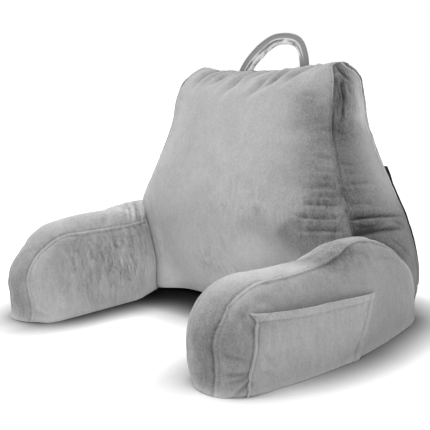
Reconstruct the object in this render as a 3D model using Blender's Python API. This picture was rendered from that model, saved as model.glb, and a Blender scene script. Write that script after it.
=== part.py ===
"""Reading pillow with arms: a stuffed back, two stuffed arms, a patch pocket, a rear pocket and a carry handle.

Metres, +Z up. +X is the sitter's left seen from the front, -Y is the way the arms reach, z = 0 is the floor.
Each stuffed piece is a box lattice whose six sides become its sewn panels, so every box edge is a seam.
"""

import bmesh
import bpy
import numpy as np

# Driving dimensions
SEAM_DRAW = 0.0025  # how far a seam is drawn in between two stuffed panels
CLEARANCE = 0.0004  # between a piece and the piece sewn to it
POCKET_CLEARANCE = 0.0013  # at a pocket's sewn edges, over the facets behind it
SOLE_ROUND = 0.006  # roll of the stuffed edge down to the floor
CLOTH = 0.002  # thickness of a hemmed pocket

BACK_CELLS = (28, 8, 26)  # across, front to rear, upwards
ARM_CELLS = (7, 22, 9)  # across, rear to tip, upwards

FRONT_CROWN = 3.0  # power of the front and rear panels' crown across the width
TOP_ROLL = 0.011  # rise of the top between its front and its rear

ARM_REAR_Y = 0.180  # where the outer panel ends beside the back
ARM_REAR_CENTRE_Y = 0.005  # centre of the outer panel's rear arc
ARM_TIP_Y = -0.269
ARM_TIP_RADIUS = 0.085  # of the outer panel's corner, seen from the side
BAND_CROWN_TIP = 0.015
LEFT_EXTRA_REACH = 0.001  # the left arm reaches a little further
RIGHT_CROWN, LEFT_CROWN = 0.5, 0.95  # the right arm's band lies flatter, as if leant on

POCKET_CELLS = (16, 7)  # along the arm, upwards
POCKET_GAPE = 0.013  # how far the mouth stands off the arm
REAR_POCKET_CELLS = (20, 7)
REAR_POCKET_GAPE = 0.007

HANDLE_Y = 0.160
HANDLE_HALF_WIDTH = 0.0115  # the strap stands on edge, so its width lies in the loop's plane
HANDLE_THICKNESS = 0.004
HANDLE_STEPS = 30


def table(columns, *rows):
    """A dictionary of named columns, each a numpy array."""
    return dict(zip(columns.split(), np.array(rows, float).T))


# The back, from the floor (rise 0) to the top edge (rise 1). edge = at the seams, mid = on the middle line.
BACK = table(
    "rise  front_half edge_y edge_z mid_y mid_z  rear_half rear_y rear_z rear_mid_y rear_mid_z  bulge drift",
    (0.00, 0.284, 0.050, 0.000, 0.045, 0.000, 0.294, 0.194, 0.000, 0.203, 0.000, 0.004, 0.000),
    (0.15, 0.292, 0.045, 0.066, 0.010, 0.066, 0.303, 0.200, 0.070, 0.215, 0.070, 0.010, 0.000),
    (0.30, 0.294, 0.045, 0.130, -0.004, 0.130, 0.296, 0.201, 0.130, 0.219, 0.130, 0.014, -0.002),
    (0.42, 0.286, 0.048, 0.180, -0.004, 0.180, 0.281, 0.201, 0.180, 0.219, 0.180, 0.014, -0.006),
    (0.55, 0.260, 0.061, 0.235, 0.008, 0.235, 0.257, 0.200, 0.235, 0.218, 0.235, 0.014, -0.008),
    (0.68, 0.233, 0.077, 0.295, 0.028, 0.293, 0.229, 0.197, 0.295, 0.215, 0.293, 0.012, -0.009),
    (0.78, 0.216, 0.090, 0.345, 0.050, 0.338, 0.213, 0.195, 0.345, 0.211, 0.338, 0.010, -0.010),
    (0.88, 0.210, 0.102, 0.393, 0.073, 0.380, 0.208, 0.192, 0.393, 0.207, 0.380, 0.007, -0.010),
    (0.95, 0.201, 0.114, 0.427, 0.091, 0.411, 0.203, 0.185, 0.428, 0.202, 0.411, 0.004, -0.009),
    (1.00, 0.183, 0.130, 0.444, 0.108, 0.430, 0.187, 0.169, 0.446, 0.189, 0.430, 0.000, -0.006),
)

# The right arm along its length. foot = at the floor, seam = where the side panels meet the top band,
# inner_share = the inner seam's height as a share of the outer one's, crown = the band's rise between them.
ARM = table(
    "y  inner_foot inner_seam outer_foot outer_seam seam_z inner_share crown",
    (-0.275, 0.228, 0.240, 0.312, 0.296, 0.147, 1.00, 0.015),
    (-0.250, 0.206, 0.223, 0.327, 0.301, 0.148, 1.00, 0.020),
    (-0.200, 0.196, 0.216, 0.339, 0.309, 0.150, 1.00, 0.024),
    (-0.150, 0.193, 0.213, 0.347, 0.315, 0.151, 1.00, 0.027),
    (-0.100, 0.191, 0.211, 0.351, 0.318, 0.153, 0.98, 0.028),
    (-0.050, 0.192, 0.212, 0.352, 0.318, 0.158, 0.96, 0.025),
    (0.000, 0.213, 0.232, 0.349, 0.315, 0.164, 0.95, 0.018),
    (0.050, 0.226, 0.247, 0.342, 0.312, 0.167, 0.95, 0.012),
    (0.100, 0.228, 0.249, 0.332, 0.313, 0.168, 0.95, 0.010),
    (0.150, 0.229, 0.250, 0.320, 0.313, 0.168, 0.95, 0.010),
    (0.180, 0.230, 0.250, 0.307, 0.305, 0.168, 0.95, 0.010),
)

# Gathers of the front panel where it rolls over the top: across -1..1 at the top, lean as it runs down.
GATHERS = table(
    "across lean  foot  width depth",
    (-0.86, 0.16, 0.80, 0.045, 0.005),
    (-0.60, 0.12, 0.86, 0.040, 0.004),
    (-0.36, 0.14, 0.82, 0.045, 0.005),
    (-0.06, 0.16, 0.84, 0.045, 0.004),
    (0.22, 0.18, 0.80, 0.050, 0.005),
    (0.50, 0.20, 0.84, 0.050, 0.005),
    (0.80, 0.16, 0.86, 0.045, 0.004),
)

# Troughs across the side gussets. depth_at = 0 at the front seam to 1 at the rear seam.
GUSSET_FOLDS = table(
    "rise  rise_width depth_at depth_width depth",
    (0.97, 0.080, 0.45, 0.24, 0.011),
    (0.88, 0.070, 0.40, 0.22, 0.006),
    (0.50, 0.016, 0.55, 0.45, 0.005),
    (0.45, 0.016, 0.50, 0.45, 0.006),
)

# The patch pocket's mouth along the right arm.
POCKET_MOUTH = table(
    "y  z",
    (-0.224, 0.120),
    (-0.190, 0.112),
    (-0.140, 0.104),
    (-0.075, 0.101),
    (0.018, 0.099),
)
POCKET_FOOT_Z = 0.003
POCKET_FOOT_SHIFT = (-0.021, -0.015)  # its front and rear edges lean forward towards the floor

REAR_POCKET_RISE = (0.12, 0.612)  # foot and mouth, as rises of the back
REAR_POCKET_ACROSS = 0.955  # of the half width

# The handle's centre line, a loop that leans towards +X.
HANDLE = table(
    "x  z",
    (-0.077, 0.424),
    (-0.065, 0.448),
    (-0.045, 0.470),
    (-0.016, 0.487),
    (0.015, 0.497),
    (0.045, 0.498),
    (0.068, 0.488),
    (0.080, 0.467),
    (0.084, 0.445),
    (0.085, 0.424),
)

# Colours, linear
VELOUR_GREY = (0.42, 0.42, 0.43)
STRAP_GREY = (0.24, 0.24, 0.25)
POCKET_BLACK = (0.02, 0.02, 0.022)


def smooth(columns, key, at):
    """Every column of a table, read at any place along the key column on a smooth cubic curve."""
    knots = columns[key]
    at = np.clip(at, knots[0], knots[-1])
    left = np.clip(np.searchsorted(knots, at, side="right") - 1, 0, len(knots) - 2)
    step = knots[left + 1] - knots[left]
    u = (at - knots[left]) / step
    found = {}
    for name, values in columns.items():
        slope = np.gradient(values, knots)
        found[name] = (
            values[left] * (1 + 2 * u) * (1 - u) ** 2
            + slope[left] * step * u * (1 - u) ** 2
            + values[left + 1] * u**2 * (3 - 2 * u)
            - slope[left + 1] * step * u**2 * (1 - u)
        )
    return found


def mix(a, b, share):
    return a + (b - a) * share


def box_lattice(cells):
    """The outer points of a box lattice, as shares 0..1 along its three ways, and its outward quads."""
    index = {}

    def corner(point):
        return index.setdefault(tuple(point), len(index))

    quads = []
    for axis in range(3):
        first, second = (axis + 1) % 3, (axis + 2) % 3
        for end in (0, cells[axis]):
            for i in range(cells[first]):
                for j in range(cells[second]):
                    ring = []
                    for di, dj in ((0, 0), (1, 0), (1, 1), (0, 1)):
                        point = [0, 0, 0]
                        point[axis], point[first], point[second] = end, i + di, j + dj
                        ring.append(corner(point))
                    quads.append(ring if end else ring[::-1])
    shares = np.array(list(index), float) / np.array(cells, float)
    return shares, quads


def back_points(across, depth, rise):
    """Points of the back: across 0..1 along X, depth 0 on the front panel and 1 on the rear, rise 0..1."""
    level = smooth(BACK, "rise", rise)
    side = 2 * across - 1
    crown = 1 - np.abs(side) ** FRONT_CROWN
    front_y = mix(level["edge_y"], level["mid_y"], crown)
    front_z = mix(level["edge_z"], level["mid_z"], crown)
    rear_y = mix(level["rear_y"], level["rear_mid_y"], crown)
    rear_z = mix(level["rear_z"], level["rear_mid_z"], crown)
    arch = 4 * depth * (1 - depth)
    x = side * mix(level["front_half"], level["rear_half"], depth)
    x += np.sign(side) * side**6 * level["bulge"] * arch
    z = mix(front_z, rear_z, depth) + TOP_ROLL * rise**40 * arch * (1 - 0.6 * side**2)
    return np.stack([x + level["drift"], mix(front_y, rear_y, depth), z], axis=1)


def back_troughs(across, depth, rise):
    """How deep the cloth of the back is drawn in at each lattice point."""
    side = 2 * across - 1
    drawn = np.zeros_like(side)
    on_gusset = np.abs(side) > 0.999
    for n in range(len(GATHERS["across"])):
        fold = {name: values[n] for name, values in GATHERS.items()}
        run = np.clip((rise - fold["foot"]) / (1 - fold["foot"]), 0, 1)
        centre = fold["across"] - fold["lean"] * (1 - run)
        front = np.clip(1 - 1.6 * depth, 0, 1)
        drawn += fold["depth"] * run * front * np.exp(-(((side - centre) / fold["width"]) ** 2))
    for n in range(len(GUSSET_FOLDS["rise"])):
        fold = {name: values[n] for name, values in GUSSET_FOLDS.items()}
        along = np.exp(-(((rise - fold["rise"]) / fold["rise_width"]) ** 2))
        over = np.exp(-(((depth - fold["depth_at"]) / fold["depth_width"]) ** 2))
        drawn += np.where(on_gusset, fold["depth"] * along * over, 0)
    return drawn + SEAM_DRAW * seam_share(across, depth, rise)


def seam_share(*shares):
    """1 on a lattice point where two panels meet, else 0."""
    ends = sum(((s < 1e-6) | (s > 1 - 1e-6)).astype(int) for s in shares)
    return (ends >= 2).astype(float)


def to_quarter_round(p, q):
    """Moves a point of the unit square to the quarter disc, edges to the arc."""
    return p * np.sqrt(1 - q**2 / 2), q * np.sqrt(1 - p**2 / 2)


def arm_side(length, rise):
    """(y, z) on an arm's side panel, and the (y, z) way out of its outline."""
    y = mix(ARM_REAR_Y, ARM_TIP_Y, length)
    top = smooth(ARM, "y", y)["seam_z"]
    z = rise * top
    tip_p = np.clip((ARM_TIP_Y + ARM_TIP_RADIUS - y) / ARM_TIP_RADIUS, 0, 1)
    tip_q = np.clip((z - top + ARM_TIP_RADIUS) / ARM_TIP_RADIUS, 0, 1)
    round_p, round_q = to_quarter_round(tip_p, tip_q)
    in_tip = (tip_p > 0) & (tip_q > 0)
    tip_y = ARM_TIP_Y + ARM_TIP_RADIUS * (1 - round_p)
    tip_z = top - ARM_TIP_RADIUS * (1 - round_q)
    rear_reach = ARM_REAR_Y - ARM_REAR_CENTRE_Y
    rear_p = np.clip((y - ARM_REAR_CENTRE_Y) / rear_reach, 0, 1)
    turned_p, turned_q = to_quarter_round(rear_p, rise)
    in_rear = rear_p > 0
    y = np.where(in_tip, tip_y, np.where(in_rear, ARM_REAR_CENTRE_Y + rear_reach * turned_p, y))
    z = np.where(in_tip, tip_z, np.where(in_rear, turned_q * top, z))
    out_y = np.where(tip_p > 0, -round_p, turned_p * in_rear)
    out_z = np.where(tip_p > 0, round_q, np.where(in_rear, turned_q, 1.0))
    size = np.maximum(np.hypot(out_y, out_z), 1e-9)
    return y, z, out_y / size, out_z / size


def arm_points(across, length, rise, crown_share=1):
    """Points of the right arm: across 0 on the inner panel and 1 on the outer, length 0 rear to 1 tip.

    crown_share scales how far the band on top rises between its seams.
    """
    y, z, out_y, out_z = arm_side(length, rise)
    row = smooth(ARM, "y", y)
    roll = SOLE_ROUND * np.clip(1 - z / SOLE_ROUND, 0, 1) ** 2
    inner = mix(row["inner_foot"], row["inner_seam"], rise**3) + roll
    outer = mix(row["outer_foot"], row["outer_seam"], rise**3) - roll
    x = mix(inner, outer, across)
    z = z * mix(row["inner_share"], 1, across)
    crown = 1 - np.abs(2 * across - 1) ** 2.4
    on_band = (rise > 1 - 1e-6) | (length > 1 - 1e-6)
    lift = np.where(on_band, crown * (crown_share * row["crown"] * out_z**2 + BAND_CROWN_TIP * out_y**2), 0)
    lift = lift - np.where(length > 1 - 1e-6, roll, 0)
    return np.stack([x, y + lift * out_y, np.maximum(z + lift * out_z, 0)], axis=1)


def clear_scene():
    for obj in list(bpy.data.objects):
        bpy.data.objects.remove(obj, do_unlink=True)


def cloth(name, colour, roughness):
    material = bpy.data.materials.new(name)
    material.use_nodes = True
    shader = material.node_tree.nodes["Principled BSDF"]
    shader.inputs["Base Color"].default_value = (*colour, 1)
    shader.inputs["Roughness"].default_value = roughness
    shader.inputs["Metallic"].default_value = 0
    return material


def add_object(name, points, quads, material):
    mesh = bpy.data.meshes.new(name)
    mesh.from_pydata([tuple(p) for p in points], [], quads)
    shape = bmesh.new()
    shape.from_mesh(mesh)
    bmesh.ops.recalc_face_normals(shape, faces=shape.faces)
    bmesh.ops.triangulate(shape, faces=shape.faces)
    shape.to_mesh(mesh)
    shape.free()
    mesh.shade_smooth()
    obj = bpy.data.objects.new(name, mesh)
    bpy.context.collection.objects.link(obj)
    if material:
        mesh.materials.append(material)
    return obj


def push(obj, distances):
    """Moves each point along its own normal, and keeps what stands on the floor there."""
    normals = np.array([v.normal[:] for v in obj.data.vertices])
    for vertex, normal, distance in zip(obj.data.vertices, normals, distances):
        on_floor = vertex.co.z < 1e-6
        vertex.co.x += normal[0] * distance
        vertex.co.y += normal[1] * distance
        vertex.co.z = 0 if on_floor else max(vertex.co.z + normal[2] * distance, 0)
    obj.data.update()


def make_back(name, material):
    shares, quads = box_lattice(BACK_CELLS)
    back = add_object(name, back_points(*shares.T), quads, material)
    push(back, -back_troughs(*shares.T))
    return back


def make_back_cutter(back):
    """The back grown by the clearance and reaching below the floor, which cuts its neighbours."""
    cutter = back.copy()
    cutter.data = back.data.copy()
    cutter.name = "back_clearance"
    bpy.context.collection.objects.link(cutter)
    push(cutter, np.full(len(cutter.data.vertices), CLEARANCE))
    for vertex in cutter.data.vertices:
        if vertex.co.z < 1e-6:
            vertex.co.z = -SOLE_ROUND
    cutter.hide_render = True
    cutter.display_type = "WIRE"
    return cutter


def cut(obj, cutter):
    boolean = obj.modifiers.new("clear of the back", "BOOLEAN")
    boolean.operation = "DIFFERENCE"
    boolean.solver = "EXACT"
    boolean.object = cutter


def make_arm(name, side, crown_share, extra_reach, cutter, material):
    """side is +1 for the right arm and -1 for the left."""
    shares, quads = box_lattice(ARM_CELLS)
    points = arm_points(*shares.T, crown_share)
    forward = np.clip(-points[:, 1] / -ARM_TIP_Y, 0, 1)
    points[:, 1] -= extra_reach * forward
    points[:, 0] *= side
    arm = add_object(name, points, quads, material)
    push(arm, -SEAM_DRAW * seam_share(*shares.T))
    cut(arm, cutter)
    return arm


def outer_panel_shares(y, z):
    """(length, rise) of the right arm's outer panel at a given y and z, forward of the rear arc."""
    length = (y - ARM_REAR_Y) / (ARM_TIP_Y - ARM_REAR_Y)
    rise = z / smooth(ARM, "y", y)["seam_z"]
    for _ in range(40):
        found_y, found_z, _, _ = arm_side(length, rise)
        length = np.clip(length + (y - found_y) / (ARM_TIP_Y - ARM_REAR_Y), 0, 0.999)
        rise = np.clip(rise + (z - found_z) / 0.16, 0, 0.999)
    return length, rise


def sheet_object(name, inner, outer, cells, material):
    """A closed cloth between two grids of points, each of cells[0] by cells[1] quads."""
    shares, quads = box_lattice((*cells, 1))
    column = np.rint(shares[:, 0] * cells[0]).astype(int)
    row = np.rint(shares[:, 1] * cells[1]).astype(int)
    points = np.where(shares[:, 2:] < 0.5, inner[column, row], outer[column, row])
    return add_object(name, points, quads, material)


def gape(along, up):
    """How far a sewn-down pocket stands off, 0 at its sides and foot to 1 at the middle of its mouth."""
    return (1 - np.abs(2 * along - 1) ** 2.5) * up**1.5


def make_arm_pocket(material):
    along, up = np.meshgrid(
        np.linspace(0, 1, POCKET_CELLS[0] + 1), np.linspace(0, 1, POCKET_CELLS[1] + 1), indexing="ij"
    )
    mouth_y = mix(POCKET_MOUTH["y"][0], POCKET_MOUTH["y"][-1], along)
    mouth_z = smooth(POCKET_MOUTH, "y", mouth_y)["z"]
    y = mouth_y + mix(*POCKET_FOOT_SHIFT, along) * (1 - up)
    z = mix(POCKET_FOOT_Z, mouth_z, up)
    length, rise = outer_panel_shares(y.ravel(), z.ravel())
    foot = arm_points(np.ones(length.size), length, rise)
    ahead = arm_points(np.ones(length.size), length + 0.004, rise) - foot
    above = arm_points(np.ones(length.size), length, rise + 0.004) - foot
    out = np.cross(above, ahead)
    out *= np.sign(out[:, :1]) / np.linalg.norm(out, axis=1, keepdims=True)
    stand_off = mix(CLEARANCE, POCKET_CLEARANCE, np.sqrt(up)) + POCKET_GAPE * gape(along, up)
    stand_off = stand_off.ravel()[:, None]
    inner = (foot + out * stand_off).reshape(*along.shape, 3)
    outer = (foot + out * (stand_off + CLOTH)).reshape(*along.shape, 3)
    return sheet_object("arm_pocket", inner, outer, POCKET_CELLS, material)


def make_rear_pocket(material):
    along, up = np.meshgrid(
        np.linspace(0, 1, REAR_POCKET_CELLS[0] + 1),
        np.linspace(0, 1, REAR_POCKET_CELLS[1] + 1),
        indexing="ij",
    )
    across = 0.5 + 0.5 * REAR_POCKET_ACROSS * (2 * along - 1)
    rise = mix(*REAR_POCKET_RISE, up)
    rear = back_points(across.ravel(), np.ones(along.size), rise.ravel()).reshape(*along.shape, 3)
    stand_off = mix(CLEARANCE, POCKET_CLEARANCE, np.sqrt(up)) + REAR_POCKET_GAPE * gape(along, up)
    inner, outer = rear.copy(), rear.copy()
    inner[:, :, 1] += stand_off
    outer[:, :, 1] += stand_off + CLOTH
    return sheet_object("rear_pocket", inner, outer, REAR_POCKET_CELLS, material)


def make_handle(cutter, material):
    """A strap on edge: its width lies across the loop, its faces look to the front and the rear."""
    knots = np.linspace(0, 1, len(HANDLE["x"]))
    steps = np.linspace(0, 1, HANDLE_STEPS + 1)
    line = smooth({"at": knots, **HANDLE}, "at", steps)
    centre = np.stack([line["x"], line["z"]], axis=1)
    run = np.gradient(centre, axis=0)
    run /= np.linalg.norm(run, axis=1, keepdims=True)
    out = np.stack([-run[:, 1], run[:, 0]], axis=1)
    shares, quads = box_lattice((HANDLE_STEPS, 1, 1))
    step = np.rint(shares[:, 0] * HANDLE_STEPS).astype(int)
    flat = centre[step] + out[step] * (HANDLE_HALF_WIDTH * (2 * shares[:, 1:2] - 1))
    y = HANDLE_Y + HANDLE_THICKNESS * (shares[:, 2] - 0.5)
    handle = add_object("carry_handle", np.stack([flat[:, 0], y, flat[:, 1]], axis=1), quads, material)
    cut(handle, cutter)
    return handle


def centre_over_origin(objects):
    """Moves everything so that the middle of the whole outline's box stands over the origin."""
    bpy.context.view_layer.update()
    graph = bpy.context.evaluated_depsgraph_get()
    corners = []
    for obj in objects:
        mesh = obj.evaluated_get(graph).to_mesh()
        corners += [v.co[:] for v in mesh.vertices]
    corners = np.array(corners)
    middle = (corners.min(axis=0) + corners.max(axis=0)) / 2
    for obj in bpy.data.objects:
        for vertex in obj.data.vertices:
            vertex.co.x -= middle[0]
            vertex.co.y -= middle[1]


def main():
    clear_scene()
    velour = cloth("velour", VELOUR_GREY, 0.9)
    strap = cloth("strap", STRAP_GREY, 0.85)
    black = cloth("black_cloth", POCKET_BLACK, 0.8)
    back = make_back("back_cushion", velour)
    cutter = make_back_cutter(back)
    pieces = [
        back,
        make_arm("arm_right", 1, RIGHT_CROWN, 0, cutter, velour),
        make_arm("arm_left", -1, LEFT_CROWN, LEFT_EXTRA_REACH, cutter, velour),
        make_arm_pocket(velour),
        make_rear_pocket(black),
        make_handle(cutter, strap),
    ]
    centre_over_origin(pieces)


main()
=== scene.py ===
"""The looks of the reading pillow with arms: grey velour over soft filling, on a white floor in studio light.

Metres, +Z up. The shapes are worked out in the pillow's own frame, where x = 0 is the middle of the seat, the
arms reach towards -Y and z = 0 is the floor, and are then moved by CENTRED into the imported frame.
Each stuffed piece is a box lattice whose six sides are its sewn panels, so every box edge is a seam.
All tables are written in thousandths: lengths in millimetres, shares and tones per mille.
"""

import math
from functools import reduce
from itertools import product

import bpy
import numpy as np
from mathutils import Matrix, Vector
from mathutils.bvhtree import BVHTree
from mathutils.kdtree import KDTree


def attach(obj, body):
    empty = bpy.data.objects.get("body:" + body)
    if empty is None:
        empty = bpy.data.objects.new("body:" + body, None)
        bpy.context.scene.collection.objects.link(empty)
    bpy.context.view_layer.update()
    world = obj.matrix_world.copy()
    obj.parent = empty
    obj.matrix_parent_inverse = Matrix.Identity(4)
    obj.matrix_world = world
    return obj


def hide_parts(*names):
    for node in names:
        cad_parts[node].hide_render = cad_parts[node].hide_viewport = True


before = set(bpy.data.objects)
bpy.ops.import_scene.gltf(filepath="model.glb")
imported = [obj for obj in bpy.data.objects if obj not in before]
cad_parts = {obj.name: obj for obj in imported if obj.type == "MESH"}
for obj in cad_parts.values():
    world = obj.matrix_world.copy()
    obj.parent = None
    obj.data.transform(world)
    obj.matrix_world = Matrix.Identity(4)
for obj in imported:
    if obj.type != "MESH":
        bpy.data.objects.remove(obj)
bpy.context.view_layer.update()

CENTRED = np.array([-0.0041, 0.0289, 0.0])  # from the pillow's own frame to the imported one

# Mesh steps
SEAM_ROWS = (0.0022, 0.0048, 0.0085, 0.0135)  # distances of the first rows from a seam
SEAM_REACH = 0.05  # how far from a seam its shape can still be felt
BACK_STEP = 0.0070
ARM_STEP = 0.0064
POCKET_STEP = 0.0065

# Shape of the pieces, as in the solids
BACK_WIDTH, BACK_DEPTH, BACK_HEIGHT = 0.50, 0.07, 0.47  # along its panels
ARM_WIDTH, ARM_LENGTH, ARM_HEIGHT = 0.115, 0.50, 0.17
FRONT_CROWN = 3.0
TOP_ROLL = 0.011
SOLE_ROUND = 0.0012
TIP_TUCK = 0.016  # how far the tip's inner corner turns in at the foot
ARM_REAR_Y = 0.180
ARM_REAR_CENTRE_Y = 0.005
ARM_TIP_Y = -0.269
ARM_TIP_RADIUS = 0.085
BAND_CROWN_TIP = 0.015
LEFT_EXTRA_REACH = 0.001
CLOTH = 0.002
CREST = 0.5  # where along the top the front and rear panels meet
OVER_TOP = 0.055  # how far the folds run on over the top, where the mesh is nearly level
GUSSET_DEPTH = 0.09
SINK = 0.0010  # how far an arm's cut end presses into the back, so that the join shows no gap

# The filling
PUFF_FRAMES = 20
PRESSURE = 1.2
GROWTH = 0.012  # how much larger than its panel the cloth is cut
BACK_SWELL, ARM_SWELL = 0.004, 0.003  # the most that the filling moves the cloth
FIRMNESS = 0.0012  # unevenness of the filling

# Kinds of seam
PLAIN_SEAM, TOPSTITCHED_SEAM, RIDGE_SEAM = 1, 2, 3

# How dark each panel is against the front panel: partly how its pile lies, partly painted light and shade for
# the way the panel faces the light
GUSSET_TONE = -0.20
RIGHT_TONES = (-0.04, -0.10, 0.02, -0.18)  # outer panel, inner panel, band, band at the tip
LEFT_TONES = (-0.08, 0.04, 0.09, -0.07)


def table(text):
    """A dictionary of named columns, each a numpy array, from lines of numbers in thousandths."""
    names, *rows = text.strip().splitlines()
    return dict(zip(names.split(), np.array([row.split() for row in rows], float).T / 1000))


def folds(rows):
    """Shallow troughs from a0,b0 to a1,b1, each with a soft lip at its sides."""
    return table("a0 b0 a1 b1 bow width depth" + rows)


# The back, from the floor (rise 0) to the top edge (rise 1). edge = at the seams, mid = on the middle line.
BACK = table("""
rise front_half edge_y edge_z mid_y mid_z rear_half rear_y rear_z rear_mid_y rear_mid_z bulge drift
0 284 50 0 45 0 294 194 0 203 0 4 0
150 292 45 66 10 66 303 200 70 215 70 10 0
300 294 45 130 -4 130 296 201 130 219 130 14 -2
420 286 48 180 -4 180 281 201 180 219 180 14 -6
550 260 61 235 8 235 257 200 235 218 235 14 -8
680 233 77 295 28 293 229 197 295 215 293 12 -9
780 216 90 345 50 338 213 195 345 211 338 10 -10
880 210 102 393 73 380 208 192 393 207 380 7 -10
950 199 114 427 91 411 202 185 428 202 411 4 -7
1000 181 130 444 108 430 185 169 446 189 430 0 -4
""")

# The dark field on the front panel, brushed pile and painted shade where the panel turns away from the light,
# from x to the right seam: how dark, how soft its edge
FRONT_DARK = table("""
z x seam_x tone blur
132 170 290 -50 400
150 156 288 -160 300
168 146 280 -230 160
185 152 273 -270 140
200 176 266 -290 300
221 190 257 -280 500
246 184 244 -280 600
269 162 233 -240 700
295 158 222 -230 800
324 164 212 -240 800
354 146 205 -230 800
380 132 200 -180 800
405 130 196 -100 800
432 160 190 -30 600
""")

# The arms along their length, as the right one lies. foot = at the floor, seam = where the side panels meet
# the top band, inner_share = the inner seam's height as a share of the outer one's, crown = the band's rise.
ARM_WIDTHS = table("""
y inner_foot inner_seam outer_foot outer_seam
-275 222 236 314 297
-250 203 219 329 302
-200 195 214 340 309
-150 193 213 347 315
-100 191 211 351 318
-50 192 212 352 318
0 214 230 349 315
50 238 247 342 312
100 228 249 332 313
150 229 250 320 313
180 230 250 307 305
""")
RIGHT_TOP = table("""
seam_z inner_share crown
147 1000 13.4
148 965 12.9
150 926 12.3
151 882 11.6
153 836 10.5
158 812 9.8
174 820 9.4
175 833 9
174 860 8
175 950 5
175 950 5
""")
LEFT_TOP = table("""
seam_z inner_share crown
147 1000 14.3
148 1000 19
150 1000 22.8
151 1000 25.7
153 980 26.6
158 940 24.2
164 890 23.4
167 860 23.8
168 950 16.5
168 950 11.5
168 950 9.5
""")
RIGHT_ARM = {**ARM_WIDTHS, **RIGHT_TOP}
LEFT_ARM = {**ARM_WIDTHS, **LEFT_TOP}

POCKET_MOUTH = table("""
y z
-231 116
-195 112
-145 108
-80 104
12 95
""")
POCKET_FOOT_Z = 0.0004
POCKET_FRONT_EDGE = table("""
rise y
0 -253
250 -250.5
550 -240
800 -232
920 -227.5
1000 -231.5
""")
POCKET_REAR_SHIFT = -0.052
# The stitched triangle at the front end of the pocket's mouth
TACK_WIDTH, TACK_POINT, TACK_HEIGHT = 0.025, 0.006, 0.0135
POCKET_GAPE = 0.013
POCKET_LENGTH, POCKET_HEIGHT = 0.242, 0.112
POCKET_CELLS = (151, 71)  # along the arm, upwards
OUTSIDE = 0.45  # where rays towards the arm's side or the back's rear start
REAR_POCKET_RISE = (0.12, 0.612)
REAR_POCKET_ACROSS = 0.990
REAR_POCKET_WIDTH, REAR_POCKET_HEIGHT = 0.57, 0.21
REAR_POCKET_GAPE = 0.007

HANDLE = table("""
x z
-84 424
-64 448
-41 467
-14 484
15 495.5
47 496.5
72 488
82.5 467
84.5 445
84.5 424
""")
HANDLE_Y = 0.160
HANDLE_HALF_WIDTH = 0.0115
HANDLE_SWELL = (0.0, 0.28, 0.50, 1.0), (1.22, 1.15, 0.90, 0.96)  # places along the loop, and its width there
HANDLE_CELLS, HANDLE_SIDES = 320, 64

# Folds drawn in where the filling is slack. On the front panel a is x and b is z; on the gussets and the
# arms' side panels a is y and b is z.
FRONT_FOLDS = folds("""
-136 486 -160 408 4 7.5 6.2
-108 486 -128 414 2 6 3.6
-84 486 -96 424 -2 6 3
-46 486 -118 415 6 7 5.2
-24 486 -60 396 6 8.5 6.8
8 486 -14 420 2 6 2.6
44 486 12 394 7 8 6.2
74 486 50 420 3 6 3.4
108 486 22 402 7 8.5 6.8
142 486 84 416 5 7 5
160 486 140 430 2 5.5 2.6
148 400 178 392 1 3.8 2
158 386 176 382 1 3.6 1.2
176 338 208 340 1 3 1.6
180 322 210 318 -1 3 1.2
188 297 222 290 2 3.2 2
196 276 230 272 -1 2.8 1.4
202 262 236 260 1 2.8 1.4
196 247 242 245 2 3.4 2.6
206 233 248 232 1 2.8 1.6
192 220 256 218 1 3.4 2.8
182 201 266 201 -2 3.4 3.4
204 190 266 190 1 2.8 1.6
198 177 270 179 2 3.6 3.4
-232 250 -196 238 2 5.5 1.2
-206 330 -176 322 2 5.5 1
-196 392 -170 378 2 5.5 1.4
""")
# On the gussets, where the rear panel's seam comes round the side as a thin ridge towards the top's point
GUSSET_REAR_SEAM = table("""
rise depth
500 940
650 920
750 880
830 860
880 870
920 860
950 780
980 630
1000 520
""")
GUSSET_FOLDS = folds("""
140 448 165 405 -4 8 8.5
130 430 116 345 4 11 7.5
150 405 160 350 3 7 2.6
138 444 152 410 2 3.8 3.2
134 436 142 392 2 3.8 3
126 420 130 376 1 3.6 2.2
146 447 172 420 -3 3.8 3.6
98 336 126 328 1 4 2.4
94 322 116 316 1 3.6 1.4
80 284 110 276 2 4.5 2.4
84 268 112 263 2 4 1.4
74 250 132 246 3 4.5 2.8
64 221 116 211 3 4.2 2.8
50 199 186 181 5 3.8 7.5
54 186 118 182 -2 4 4.6
44 173 172 163 6 4.4 7.8
134 183 176 168 2 4 4.2
96 154 150 110 4 5 4
120 156 166 116 3 4.6 3.6
""")
RIGHT_TIP_FOLDS = folds("""
-274 64 -244 52 1 3 2
-276 35 -244 34 1 3 3
-274 23 -248 31 -1 2.6 2.6
-244 31 -273 1 -2 2.2 -3.4
-244 24 -268 1 -1 2.6 3
-238 22 -258 2 -1 2.2 -2.2
""")
OUTER_PANEL_FOLDS = folds("""
-236 104 -224 66 2 5.5 2
-226 128 -246 110 2 5 2.4
-214 130 -190 120 3 6 1.8
-60 150 20 160 3 7 1.4
30 140 110 120 6 8 1.6
20 20 60 50 4 7 1.4
""")
INNER_PANEL_FOLDS = folds("""
-34 150 -26 118 2 4.5 2.6
-10 148 -8 122 1 4 3
-22 138 -30 90 2 5 1.6
-50 142 -54 104 3 5.5 1.8
-70 138 -62 98 3 6 1.6
-92 136 -98 92 3 6 1.8
-110 134 -104 86 3 6 1.4
-134 132 -142 100 3 6 1.4
-80 80 -72 36 3 7 1
-262 46 -256 20 1 5 1.6
-270 24 -252 10 1 5 3
""")
# On the arm pocket: a is y, b is z.
POCKET_FOLDS = folds("""
-50 20 -10 34 3 5 2
-70 10 -16 18 2 5 1.8
-226 60 -204 36 3 5 2
-222 104 -196 86 4 6 1.6
-12 86 -40 70 3 6 1.4
-232 36 -206 20 2 5 1.8
""")
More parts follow.
